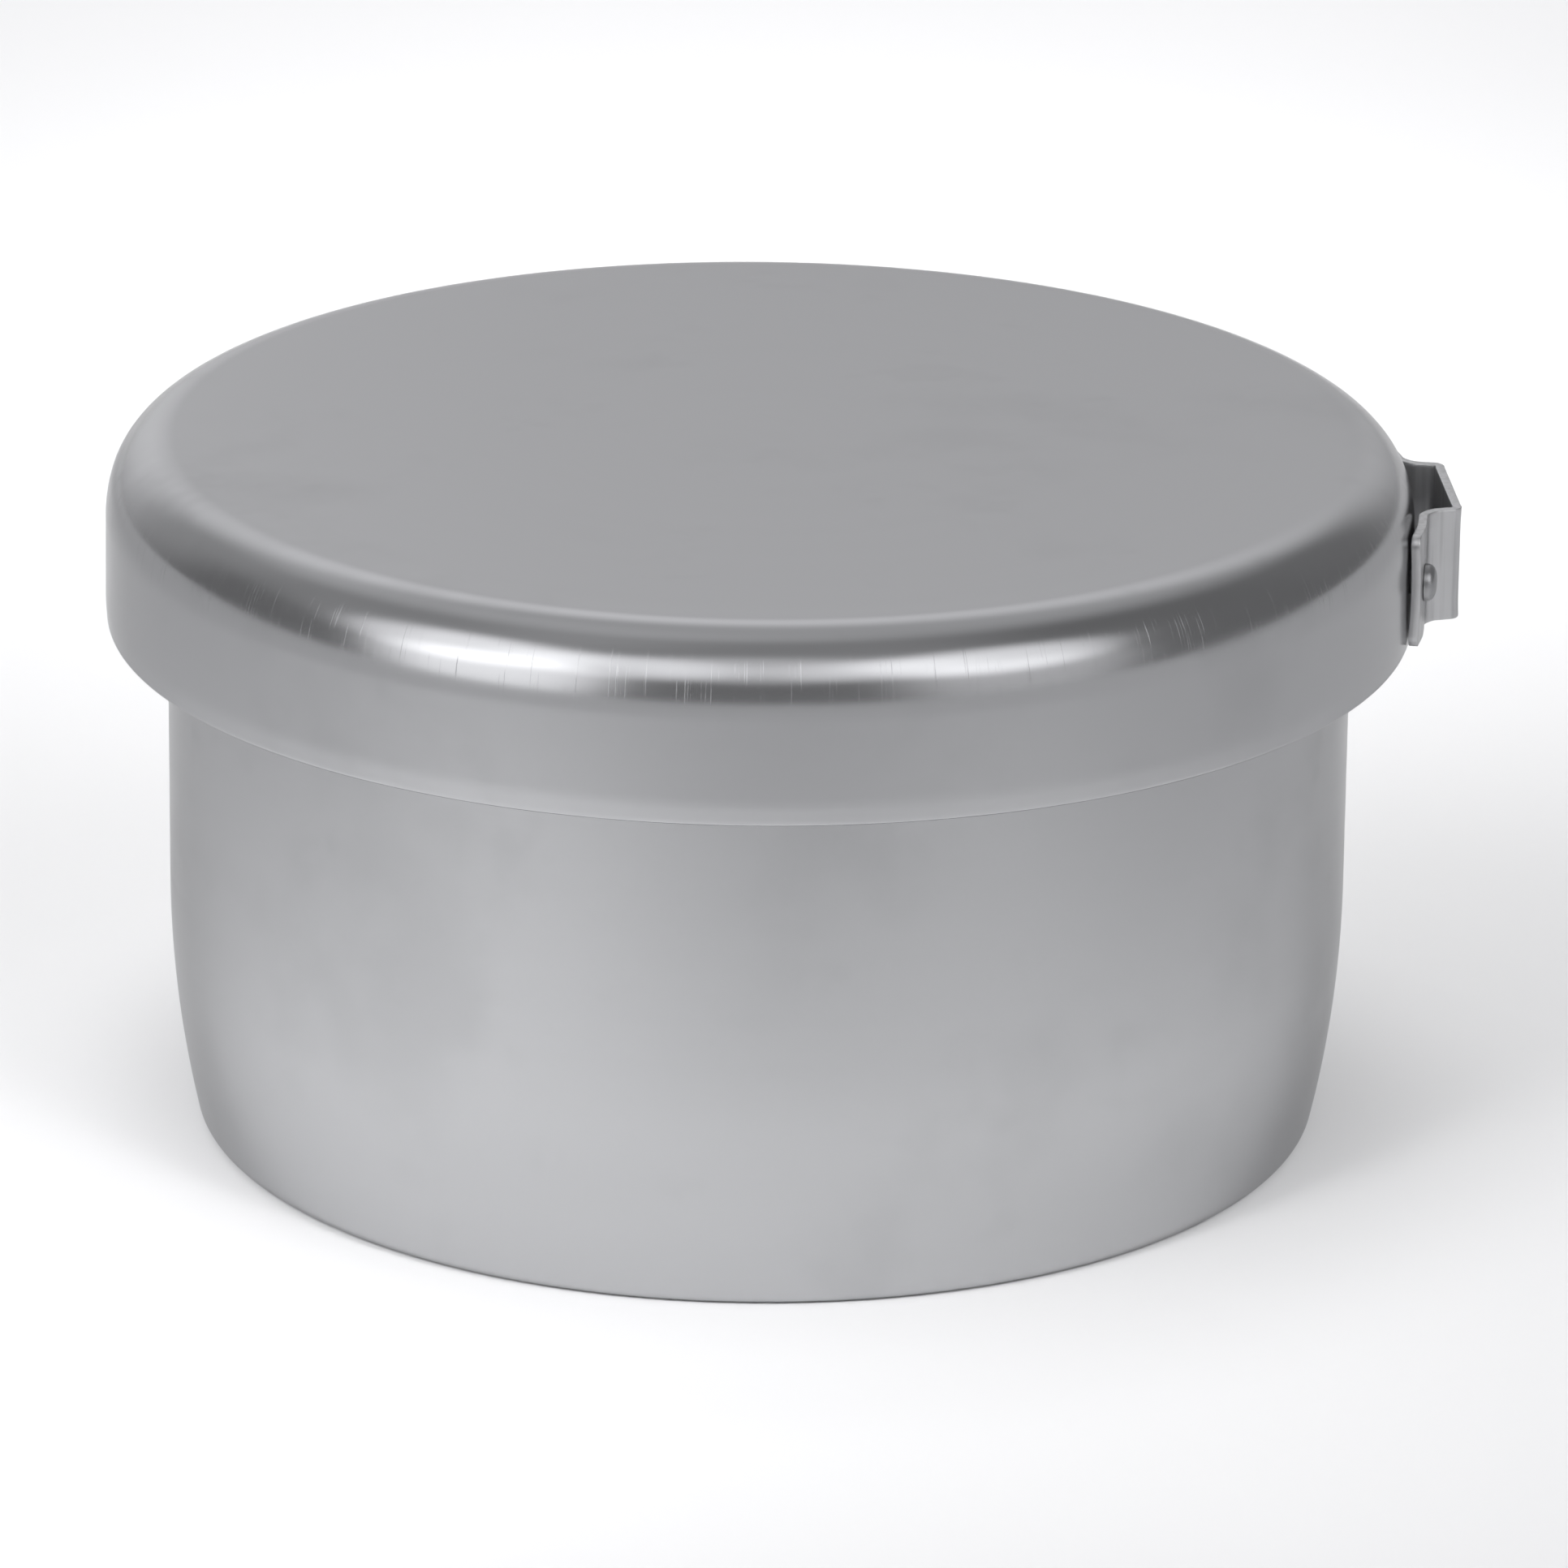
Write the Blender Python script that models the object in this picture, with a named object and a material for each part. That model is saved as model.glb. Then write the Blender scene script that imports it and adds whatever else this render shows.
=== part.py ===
"""Round tin with a deep slip-on lid, and a riveted strip socket for a handle on the lid.

Units are metres and +Z is up.  The origin is the centre of the tin's flat base, and the
handle socket is on the +X side.  The lid, its socket and its rivets hang from one empty
on the tin's axis, because they lift off together along it.
"""
import math

import bmesh
import bpy
from mathutils import Matrix, Vector

# Tin
BODY_RADIUS = 0.0726           # outer radius of the straight wall
TIN_HEIGHT = 0.0857            # base to the top of the rolled rim
BODY_WALL = 0.0009
BELLY_START = 0.0306           # height above the base where the wall starts to curve in
BELLY_RADIUS = 0.1334          # outer radius of that curve, seen from the side
BASE_CORNER_RADIUS = 0.0024    # outer radius between the wall and the flat base
RIM_CURL_RADIUS = 0.00175      # outer radius of the rolled rim's section
RIM_CURL_SWEEP = 285.0         # degrees that the sheet turns round the curl

# Lid
SKIRT_CLEARANCE = 0.0065       # from the tin's wall to the inside of the lid's skirt
LID_DEPTH = 0.0227             # lid top to the skirt's lower edge
LID_WALL = 0.0009
LID_CORNER_RADIUS = 0.0079     # outer radius between the flat top and the skirt
SKIRT_FLARE = 0.00015          # how much wider the skirt is at its lower edge
SEAT_GAP = 0.0003              # from the rolled rim to the inside of the lid

# Handle socket
STRIP_THICKNESS = 0.00115
STRIP_HEIGHT = 0.01415
STRIP_EDGE_MARGIN = 0.0006     # from the skirt's lower edge up to the strip's lower edge
SOCKET_CLEAR_DEPTH = 0.00405   # from the skirt to the inside of the bridge
SOCKET_WIDTH = 0.0188          # outside width of the bridge
SOCKET_SPLAY = 16.0            # degrees that each side wall leans outward
FLANGE_LENGTH = 0.0109         # along the skirt, from the side wall's foot to the flange's end
FLANGE_GAP = 0.0003            # from the skirt to the back of the flanges
BRIDGE_BEND_RADIUS = 0.0008    # inside radius between the bridge and a side wall
FOOT_BEND_RADIUS = 0.0020      # inside radius between a side wall and its flange
FLANGE_CORNER_RADIUS = 0.0012

# Rivets
RIVET_SHANK_RADIUS = 0.0015
RIVET_HEAD_RADIUS = 0.0023
RIVET_HEAD_HEIGHT = 0.00145
RIVET_TAIL_RADIUS = 0.0021
RIVET_TAIL_HEIGHT = 0.0010
RIVET_HOLE_CLEARANCE = 0.00015  # round the shank
RIVET_FACE_GAP = 0.0001        # under the head and under the tail

# Smoothness
TURNED_STEPS = 64
RIVET_STEPS = 16
MERGE_DISTANCE = 0.00001

# Places that follow from the sizes above
LID_RADIUS = BODY_RADIUS + SKIRT_CLEARANCE + LID_WALL
LID_INNER_RADIUS = LID_RADIUS - LID_WALL
LID_INNER_CORNER = LID_CORNER_RADIUS - LID_WALL
RIM_CURL_CENTRE = BODY_RADIUS - BODY_WALL + RIM_CURL_RADIUS
SKIRT_WIDEST_RADIUS = LID_RADIUS + SKIRT_FLARE
FLANGE_INNER_RADIUS = SKIRT_WIDEST_RADIUS + FLANGE_GAP
FLANGE_OUTER_RADIUS = FLANGE_INNER_RADIUS + STRIP_THICKNESS
FLANGE_MIDDLE_RADIUS = FLANGE_INNER_RADIUS + STRIP_THICKNESS / 2
BRIDGE_FACE = SKIRT_WIDEST_RADIUS + SOCKET_CLEAR_DEPTH + STRIP_THICKNESS
STRIP_BOTTOM = STRIP_EDGE_MARGIN - LID_DEPTH
STRIP_MIDDLE = STRIP_BOTTOM + STRIP_HEIGHT / 2


def clear_scene():
    for item in list(bpy.data.objects):
        bpy.data.objects.remove(item, do_unlink=True)


def metal(name, colour, roughness):
    """A metal with one colour and one roughness."""
    material = bpy.data.materials.new(name)
    material.use_nodes = True
    shader = material.node_tree.nodes["Principled BSDF"]
    shader.inputs["Base Color"].default_value = (*colour, 1.0)
    shader.inputs["Metallic"].default_value = 1.0
    shader.inputs["Roughness"].default_value = roughness
    return material


def arc(centre, radius, start, end, steps):
    """Points on an arc, with its angles in degrees from +X towards +Y."""
    points = []
    for step in range(steps + 1):
        angle = math.radians(start + (end - start) * step / steps)
        points.append((centre[0] + radius * math.cos(angle), centre[1] + radius * math.sin(angle)))
    return points


def add_object(name, mesh, material=None, parent=None):
    item = bpy.data.objects.new(name, mesh)
    bpy.context.scene.collection.objects.link(item)
    item.parent = parent
    if material:
        mesh.materials.append(material)
    return item


def turned(name, outline, steps, material, parent=None):
    """A solid turned about Z from an outline of (radius, height) points, axis to axis.

    The outline runs down the outer side, from top to bottom.
    """
    mesh = bpy.data.meshes.new(name)
    corners = [(radius, 0.0, height) for radius, height in outline]
    edges = [(index, index + 1) for index in range(len(corners) - 1)]
    mesh.from_pydata(corners, edges, [])
    item = add_object(name, mesh, material, parent)
    screw = item.modifiers.new("Turn", "SCREW")
    screw.axis = "Z"
    screw.steps = steps
    screw.render_steps = steps
    screw.use_merge_vertices = True
    screw.merge_threshold = MERGE_DISTANCE
    screw.use_smooth_shade = True
    return item


def cut(item, cutter):
    boolean = item.modifiers.new("Cut", "BOOLEAN")
    boolean.operation = "DIFFERENCE"
    boolean.solver = "EXACT"
    boolean.object = cutter


def wall_outline(inset):
    """The tin's side from the wall down to the base, inset from its outer face."""
    belly = BELLY_RADIUS - inset
    corner = BASE_CORNER_RADIUS - inset
    belly_centre = (BODY_RADIUS - BELLY_RADIUS, BELLY_START)
    rise = BELLY_START - BASE_CORNER_RADIUS
    turn = math.degrees(math.asin(rise / (BELLY_RADIUS - BASE_CORNER_RADIUS)))
    reach = (BELLY_RADIUS - BASE_CORNER_RADIUS) * math.cos(math.radians(turn))
    corner_centre = (belly_centre[0] + reach, BASE_CORNER_RADIUS)
    points = arc(belly_centre, belly, 0.0, -turn, 7)
    points += arc(corner_centre, corner, -turn, -90.0, 4)[1:]
    return points


def tin_body(material):
    """The drawn tin, whose sheet ends in an open curl round its rim."""
    curl_centre = (RIM_CURL_CENTRE, TIN_HEIGHT - RIM_CURL_RADIUS)
    curl_end = 180.0 - RIM_CURL_SWEEP
    outline = [(0.0, BODY_WALL)]
    outline += reversed(wall_outline(BODY_WALL))
    outline += arc(curl_centre, RIM_CURL_RADIUS, 180.0, curl_end, 11)
    outline += arc(curl_centre, RIM_CURL_RADIUS - BODY_WALL, curl_end, 180.0, 8)
    outline += wall_outline(0.0)
    outline += [(0.0, 0.0)]
    return turned("tin_body", outline, TURNED_STEPS, material)


def lid_seat():
    """How far the centre of the rim's curl is below the lid's top when the lid is on.

    The curl meets the inside of the lid's corner a little outside that corner's centre,
    so the corner keeps the lid central on the tin.
    """
    corner_centre = LID_INNER_RADIUS - LID_INNER_CORNER
    offset = max(0.0, RIM_CURL_CENTRE - corner_centre)
    reach = LID_INNER_CORNER - SEAT_GAP - RIM_CURL_RADIUS
    return LID_CORNER_RADIUS - math.sqrt(reach ** 2 - offset ** 2)


def closed_height():
    return TIN_HEIGHT - RIM_CURL_RADIUS + lid_seat()


def lid(material, parent):
    """The drawn lid: a flat top, a round corner and a deep skirt with an eased edge."""
    corner_centre = (LID_RADIUS - LID_CORNER_RADIUS, -LID_CORNER_RADIUS)
    edge_radius = LID_WALL / 2
    edge_centre = (SKIRT_WIDEST_RADIUS - edge_radius, edge_radius - LID_DEPTH)
    outline = [(0.0, 0.0)]
    outline += arc(corner_centre, LID_CORNER_RADIUS, 90.0, 0.0, 7)
    outline += arc(edge_centre, edge_radius, 0.0, -180.0, 4)
    outline += arc(corner_centre, LID_INNER_CORNER, 0.0, 90.0, 6)
    outline += [(0.0, -LID_WALL)]
    return turned("lid", outline, TURNED_STEPS, material, parent)


def bent_path(corners, radii, steps):
    """A path through corners, with each inner corner rounded to its radius."""
    path = [corners[0]]
    for before, corner, after, radius in zip(corners, corners[1:], corners[2:], radii):
        inward = (before - corner).normalized()
        outward = (after - corner).normalized()
        half_angle = inward.angle(outward) / 2
        tangent = radius / math.tan(half_angle)
        centre = corner + (inward + outward).normalized() * radius / math.sin(half_angle)
        start = corner + inward * tangent - centre
        end = corner + outward * tangent - centre
        for step in range(steps + 1):
            path.append(centre + start.slerp(end, step / steps).normalized() * radius)
    path.append(corners[-1])
    return path


def side_path(path, distance):
    """The same path moved sideways, to its left for a positive distance."""
    moved = []
    for index, point in enumerate(path):
        directions = []
        if index > 0:
            directions.append((point - path[index - 1]).normalized())
        if index < len(path) - 1:
            directions.append((path[index + 1] - point).normalized())
        along = sum(directions, Vector((0.0, 0.0))).normalized()
        mitre = along.dot(directions[0])
        moved.append(point + Vector((-along.y, along.x)) * distance / mitre)
    return moved


def flange_start():
    """The side wall's half-spacing in the middle of the sheet, and the angle of its foot."""
    splay = math.radians(SOCKET_SPLAY)
    bridge = BRIDGE_FACE - STRIP_THICKNESS / 2
    side = SOCKET_WIDTH / 2 - STRIP_THICKNESS / 2 / math.cos(splay)
    foot = side + (bridge - FLANGE_MIDDLE_RADIUS) * math.tan(splay)
    return side, math.degrees(math.asin(foot / FLANGE_MIDDLE_RADIUS))


def flange_sweep(length):
    """The angle that a length along the flange takes round the tin."""
    return math.degrees(length / FLANGE_MIDDLE_RADIUS)


def foot_bend_length():
    """How much of the flange's length its bend takes."""
    turn = math.radians(90.0 - SOCKET_SPLAY - flange_start()[1])
    return (FOOT_BEND_RADIUS + STRIP_THICKNESS / 2) * math.tan(turn / 2)


def half_strip_path():
    """The middle of the sheet, from the bridge's centre to one flange's end."""
    bridge = BRIDGE_FACE - STRIP_THICKNESS / 2
    side, foot_angle = flange_start()
    end_angle = foot_angle + flange_sweep(FLANGE_LENGTH)
    flange = arc((0.0, 0.0), FLANGE_MIDDLE_RADIUS, foot_angle, end_angle, 4)
    flange = [Vector(point) for point in flange]
    corners = [Vector((bridge, 0.0)), Vector((bridge, side))] + flange[:2]
    radii = [radius + STRIP_THICKNESS / 2 for radius in (BRIDGE_BEND_RADIUS, FOOT_BEND_RADIUS)]
    return bent_path(corners, radii, 4) + flange[2:]


def flange_end_edges(shape, ends):
    """The short edges at the four corners of the flanges, across the sheet's thickness."""
    found = []
    for edge in shape.edges:
        first, second = (corner.co for corner in edge.verts)
        level = abs(first.z - second.z) < MERGE_DISTANCE
        first_end = min((first.xy - end).length for end in ends)
        second_end = min((second.xy - end).length for end in ends)
        if level and max(first_end, second_end) < MERGE_DISTANCE:
            found.append(edge)
    return found


def handle_socket(material, parent):
    """A flat strip bent into a bridge with two flanges that follow the lid's skirt."""
    half = half_strip_path()
    mirrored = [Vector((point.x, -point.y)) for point in reversed(half[1:])]
    path = mirrored + half
    outer = side_path(path, -STRIP_THICKNESS / 2)
    inner = side_path(path, STRIP_THICKNESS / 2)
    ends = [outer[0], outer[-1], inner[0], inner[-1]]
    shape = bmesh.new()
    ring = [shape.verts.new((point.x, point.y, STRIP_BOTTOM)) for point in outer + inner[::-1]]
    lower_edge = shape.faces.new(ring)
    raised = bmesh.ops.extrude_face_region(shape, geom=[lower_edge])["geom"]
    upper = [part for part in raised if isinstance(part, bmesh.types.BMVert)]
    bmesh.ops.translate(shape, verts=upper, vec=(0.0, 0.0, STRIP_HEIGHT))
    bmesh.ops.recalc_face_normals(shape, faces=shape.faces)
    bmesh.ops.bevel(shape, geom=flange_end_edges(shape, ends), offset=FLANGE_CORNER_RADIUS,
                    segments=4, profile=0.5, affect="EDGES")
    mesh = bpy.data.meshes.new("handle_socket")
    shape.to_mesh(mesh)
    shape.free()
    mesh.shade_smooth()
    mesh.set_sharp_from_angle(angle=math.radians(35.0))
    return add_object("handle_socket", mesh, material, parent)


def rivet_place(side):
    """A frame in the middle of one flange's straight part: its origin is on the skirt.

    Its +Z points out of the lid.
    """
    middle = (foot_bend_length() + FLANGE_LENGTH) / 2
    angle = side * math.radians(flange_start()[1] + flange_sweep(middle))
    turn = Matrix.Rotation(angle, 4, "Z") @ Matrix.Rotation(math.pi / 2, 4, "Y")
    place = Vector((LID_RADIUS * math.cos(angle), LID_RADIUS * math.sin(angle), STRIP_MIDDLE))
    return Matrix.Translation(place) @ turn


def dome(radius, height, seat, steps):
    """A round head's outline from its crown to its rim; a negative height closes downward."""
    points = [(0.0, seat + height)]
    for point in arc((0.0, 0.0), 1.0, 90.0, 0.0, steps)[1:]:
        points.append((radius * point[0], seat + height * point[1]))
    return points


def rivet(name, place, material, parent):
    """A round-head rivet, with its tail closed over on the inside of the skirt."""
    head_seat = FLANGE_OUTER_RADIUS - LID_RADIUS + RIVET_FACE_GAP
    tail_seat = -LID_WALL - RIVET_FACE_GAP
    outline = dome(RIVET_HEAD_RADIUS, RIVET_HEAD_HEIGHT, head_seat, 5)
    outline += [(RIVET_SHANK_RADIUS, head_seat), (RIVET_SHANK_RADIUS, tail_seat)]
    outline += reversed(dome(RIVET_TAIL_RADIUS, -RIVET_TAIL_HEIGHT, tail_seat, 4))
    item = turned(name, outline, RIVET_STEPS, material, parent)
    item.matrix_local = place
    return item


def rivet_hole_cutter(name, place, parent):
    """The hole for one rivet through the flange and the skirt."""
    length = (FLANGE_OUTER_RADIUS - LID_INNER_RADIUS) * 4
    shape = bmesh.new()
    bmesh.ops.create_cone(shape, cap_ends=True, segments=RIVET_STEPS, depth=length,
                          radius1=RIVET_SHANK_RADIUS + RIVET_HOLE_CLEARANCE,
                          radius2=RIVET_SHANK_RADIUS + RIVET_HOLE_CLEARANCE)
    mesh = bpy.data.meshes.new(name)
    shape.to_mesh(mesh)
    shape.free()
    cutter = add_object(name, mesh, None, parent)
    cutter.matrix_local = place
    cutter.hide_render = True
    cutter.display_type = "WIRE"
    return cutter


def build():
    clear_scene()
    tin_metal = metal("tin_aluminium", (0.60, 0.60, 0.61), 0.32)
    lid_metal = metal("lid_aluminium", (0.60, 0.60, 0.61), 0.30)
    socket_metal = metal("socket_aluminium", (0.56, 0.56, 0.57), 0.28)
    rivet_metal = metal("rivet_aluminium", (0.48, 0.48, 0.49), 0.34)

    lid_axis = bpy.data.objects.new("lid_axis", None)
    bpy.context.scene.collection.objects.link(lid_axis)
    lid_axis.location = (0.0, 0.0, closed_height())

    tin_body(tin_metal)
    lid_object = lid(lid_metal, lid_axis)
    socket = handle_socket(socket_metal, lid_axis)
    for name, side in (("near", -1), ("far", 1)):
        place = rivet_place(side)
        rivet("rivet_" + name, place, rivet_metal, lid_axis)
        cutter = rivet_hole_cutter("rivet_hole_" + name, place, lid_axis)
        cut(lid_object, cutter)
        cut(socket, cutter)


build()
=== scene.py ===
"""Looks for the round aluminium tin: fine meshes, procedural metal and a soft studio.

Everything is in metres in the frame's own axes: +Z up, the tin's axis on Z, the handle
socket on +X.  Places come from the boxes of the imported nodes.
"""
import math

import bmesh
import bpy
from mathutils import Matrix, Vector


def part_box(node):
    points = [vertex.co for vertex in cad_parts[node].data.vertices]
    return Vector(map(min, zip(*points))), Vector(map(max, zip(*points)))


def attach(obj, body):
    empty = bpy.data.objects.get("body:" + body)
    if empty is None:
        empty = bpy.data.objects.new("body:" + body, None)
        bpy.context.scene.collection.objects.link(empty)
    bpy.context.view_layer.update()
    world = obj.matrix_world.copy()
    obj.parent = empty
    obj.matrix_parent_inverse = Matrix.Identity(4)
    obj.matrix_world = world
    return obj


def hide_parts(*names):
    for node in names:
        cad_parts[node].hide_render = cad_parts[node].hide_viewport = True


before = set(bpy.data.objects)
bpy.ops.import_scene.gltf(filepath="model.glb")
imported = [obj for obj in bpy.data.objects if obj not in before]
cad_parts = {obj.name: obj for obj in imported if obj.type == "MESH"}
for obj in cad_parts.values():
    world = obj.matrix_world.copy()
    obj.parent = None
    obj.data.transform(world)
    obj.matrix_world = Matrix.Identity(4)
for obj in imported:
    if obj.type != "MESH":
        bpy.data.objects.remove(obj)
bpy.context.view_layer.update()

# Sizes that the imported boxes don't give, in metres
SHEET = 0.0009                  # tin and lid wall
BODY_RADIUS = 0.0726
BELLY_START = 0.0306
BELLY_RADIUS = 0.1334
BASE_CORNER_RADIUS = 0.0024
RIM_CURL_RADIUS = 0.00175
RIM_CURL_SWEEP = 285.0          # degrees
LID_CORNER_RADIUS = 0.0082      # the lid's corner, down to the shoulder
LID_SHOULDER_RADIUS = 0.0150    # the flatter curve between that corner and the skirt
LID_SHOULDER_TURN = 16.0        # degrees that the flatter curve turns
LID_RADIUS = 0.08005            # at the top of the skirt
SKIRT_EDGE_BAND = 0.0024        # the skirt turns in slightly below this height
SKIRT_EDGE_TUCK = 0.00012
STRIP_THICKNESS = 0.00115
STRIP_EDGE_EASE = 0.00013
SOCKET_WIDTH = 0.0188
SOCKET_SPLAY = 16.0             # degrees
BRIDGE_BEND_RADIUS = 0.0008
FOOT_BEND_RADIUS = 0.0020
BEND_SWELL = 0.00016            # how far a bend swells out at its sheared edges
SWELL_HEIGHT = 0.0016           # how far down from the edge that swelling reaches
FLANGE_LENGTH = 0.0109
FLANGE_GAP = 0.0003             # from the skirt to the flange's back, at the rivet
FLANGE_END_GAP = 0.00026        # the same, half-way up the flange's end
FLANGE_TIP_GAP = 0.00006        # the same, at the end's upper and lower corners
FLANGE_CORNER_RADIUS = 0.0012
RIVET_HEAD_RADIUS = 0.0023
RIVET_HEAD_HEIGHT = 0.0015
RIVET_HEAD_FULLNESS = 0.70      # 1 is half an ellipse, and less has a flatter crown
RIVET_HEAD_RIM = 0.00005        # height of the head's rim
RIVET_HEAD_TUCK = 0.00012       # how far the head's underside is drawn in
RIVET_FACE_GAP = 0.00002        # how far that underside is set into the flange
RIVET_TAIL_RADIUS = 0.0021
RIVET_TAIL_HEIGHT = 0.0010
RIVET_SHANK_RADIUS = 0.0015
SKIRT_SLACK = 0.0001            # between the skirt's flared foot and the rivet's tail

# Smoothness: steps round the axis, round each arc and along each straight stretch
TURNED_STEPS = 288
RIVET_STEPS = 64
BELLY_STEPS = 24
BASE_CORNER_STEPS = 12
BASE_STEPS = 10
WALL_STEPS = 6
RIM_OUTER_STEPS = 40
RIM_INNER_STEPS = 28
LID_CORNER_STEPS = 34
LID_SHOULDER_STEPS = 10
LID_TOP_STEPS = 12
LID_CEILING_STEPS = 10
SKIRT_STEPS = 10
SKIRT_INNER_STEPS = 8
SKIRT_BAND_STEPS = 4
SKIRT_EDGE_STEPS = 12
STRIP_ROWS = 28
STRIP_BEND_STEPS = 14
STRIP_RUN_STEPS = 5
STRIP_EASE_STEPS = 2
FLANGE_STEPS = 24
FLANGE_STRAIGHT_STEP = 6        # where the foot bend is over
FLANGE_BOW_STEP = 12            # where the flange starts to bow
CROWN_STEPS = 16
TAIL_STEPS = 8
TURNED_SHARP = 40.0             # degrees between faces that makes an edge sharp
STRIP_SHARP = 50.0
STRIP_SHEARED = 60.0            # degrees between faces at the strip's sheared edges
ON_AXIS = 1e-7

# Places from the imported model
TIN_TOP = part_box("tin_body")[1].z
LID_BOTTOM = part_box("lid")[0].z
LID_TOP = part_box("lid")[1].z
SKIRT_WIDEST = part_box("lid")[1].y
STRIP_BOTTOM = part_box("handle_socket")[0].z
STRIP_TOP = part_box("handle_socket")[1].z
STRIP_MIDDLE = (STRIP_BOTTOM + STRIP_TOP) / 2
BRIDGE_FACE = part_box("handle_socket")[1].x
BRIDGE_MIDDLE = BRIDGE_FACE - STRIP_THICKNESS / 2
FLANGE_MIDDLE = SKIRT_WIDEST + FLANGE_GAP + STRIP_THICKNESS / 2


# ---------------------------------------------------------------- geometry

def arc(centre, radius, start, end, steps):
    """Points on an arc, with its angles in degrees from +X towards +Y."""
    points = []
    for step in range(steps + 1):
        angle = math.radians(start + (end - start) * step / steps)
        points.append((centre[0] + radius * math.cos(angle), centre[1] + radius * math.sin(angle)))
    return points


def line(start, end, steps):
    """Points after start, up to and with end."""
    return [(start[0] + (end[0] - start[0]) * step / steps,
             start[1] + (end[1] - start[1]) * step / steps) for step in range(1, steps + 1)]


def new_object(name, mesh):
    item = bpy.data.objects.new(name, mesh)
    bpy.context.scene.collection.objects.link(item)
    return item


def turned(name, outline, steps, sharp_angle):
    """A closed solid turned about Z from (radius, height) points, axis to axis."""
    rings = []
    vertices = []
    for radius, height in outline:
        if radius < ON_AXIS:
            rings.append([len(vertices)] * steps)
            vertices.append((0.0, 0.0, height))
            continue
        first = len(vertices)
        rings.append(list(range(first, first + steps)))
        for step in range(steps):
            angle = 2 * math.pi * step / steps
            vertices.append((radius * math.cos(angle), radius * math.sin(angle), height))
    faces = []
    for upper, lower in zip(rings, rings[1:]):
        for step in range(steps):
            after = (step + 1) % steps
            corners = [upper[step], lower[step], lower[after], upper[after]]
            faces.append(list(dict.fromkeys(corners)))
    mesh = bpy.data.meshes.new(name)
    mesh.from_pydata(vertices, [], faces)
    mesh.shade_smooth()
    mesh.set_sharp_from_angle(angle=math.radians(sharp_angle))
    return new_object(name, mesh)


def wall_outline(inset):
    """The tin's side from just under the rim down to the base, inset from its outer face."""
    belly_centre = (BODY_RADIUS - BELLY_RADIUS, BELLY_START)
    rise = BELLY_START - BASE_CORNER_RADIUS
    turn = math.degrees(math.asin(rise / (BELLY_RADIUS - BASE_CORNER_RADIUS)))
    reach = (BELLY_RADIUS - BASE_CORNER_RADIUS) * math.cos(math.radians(turn))
    corner_centre = (belly_centre[0] + reach, BASE_CORNER_RADIUS)
    points = arc(belly_centre, BELLY_RADIUS - inset, 0.0, -turn, BELLY_STEPS)
    points += arc(corner_centre, BASE_CORNER_RADIUS - inset, -turn, -90.0, BASE_CORNER_STEPS)[1:]
    return points


def tin_body():
    """The drawn tin, whose sheet ends in an open curl round its rim."""
    curl_centre = (BODY_RADIUS - SHEET + RIM_CURL_RADIUS, TIN_TOP - RIM_CURL_RADIUS)
    curl_end = 180.0 - RIM_CURL_SWEEP
    inner_wall = list(reversed(wall_outline(SHEET)))
    outer_wall = wall_outline(0.0)
    outline = [(0.0, SHEET)]
    outline += line(outline[0], inner_wall[0], BASE_STEPS)
    outline += inner_wall[1:]
    outline += line(inner_wall[-1], (curl_centre[0] - RIM_CURL_RADIUS, curl_centre[1]), WALL_STEPS)
    outline += arc(curl_centre, RIM_CURL_RADIUS, 180.0, curl_end, RIM_OUTER_STEPS)[1:]
    outline += arc(curl_centre, RIM_CURL_RADIUS - SHEET, curl_end, 180.0, RIM_INNER_STEPS)
    outline += line(outline[-1], outer_wall[0], WALL_STEPS)
    outline += outer_wall[1:]
    outline += line(outer_wall[-1], (0.0, 0.0), BASE_STEPS)
    return turned("tin_shell", outline, TURNED_STEPS, TURNED_SHARP)


def lid_corner(inset):
    """The lid's rounded corner from its flat top down to the skirt, inset from the outer face."""
    turn = math.radians(LID_SHOULDER_TURN)
    apart = LID_SHOULDER_RADIUS - LID_CORNER_RADIUS
    shoulder = (LID_RADIUS - LID_SHOULDER_RADIUS, LID_TOP - LID_CORNER_RADIUS - apart * math.sin(turn))
    corner = (shoulder[0] + apart * math.cos(turn), LID_TOP - LID_CORNER_RADIUS)
    points = arc(corner, LID_CORNER_RADIUS - inset, 90.0, LID_SHOULDER_TURN, LID_CORNER_STEPS)
    points += arc(shoulder, LID_SHOULDER_RADIUS - inset, LID_SHOULDER_TURN, 0.0, LID_SHOULDER_STEPS)[1:]
    return points


def lid():
    """The drawn lid, with a skirt that widens a little down to a tucked-in edge."""
    edge_radius = SHEET / 2
    edge_centre = (SKIRT_WIDEST - SKIRT_EDGE_TUCK - edge_radius, LID_BOTTOM + edge_radius)
    widest = (SKIRT_WIDEST, LID_BOTTOM + SKIRT_EDGE_BAND)
    outer = lid_corner(0.0)
    inner = list(reversed(lid_corner(SHEET)))
    outline = [(0.0, LID_TOP)]
    outline += line(outline[0], outer[0], LID_TOP_STEPS)
    outline += outer[1:]
    outline += line(outer[-1], widest, SKIRT_STEPS)
    outline += line(widest, (SKIRT_WIDEST - SKIRT_EDGE_TUCK, edge_centre[1]), SKIRT_BAND_STEPS)
    outline += arc(edge_centre, edge_radius, 0.0, -180.0, SKIRT_EDGE_STEPS)[1:]
    outline += line(outline[-1], inner[0], SKIRT_INNER_STEPS)
    outline += inner[1:]
    outline += line(inner[-1], (0.0, LID_TOP - SHEET), LID_CEILING_STEPS)
    return turned("lid_shell", outline, TURNED_STEPS, TURNED_SHARP)


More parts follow.
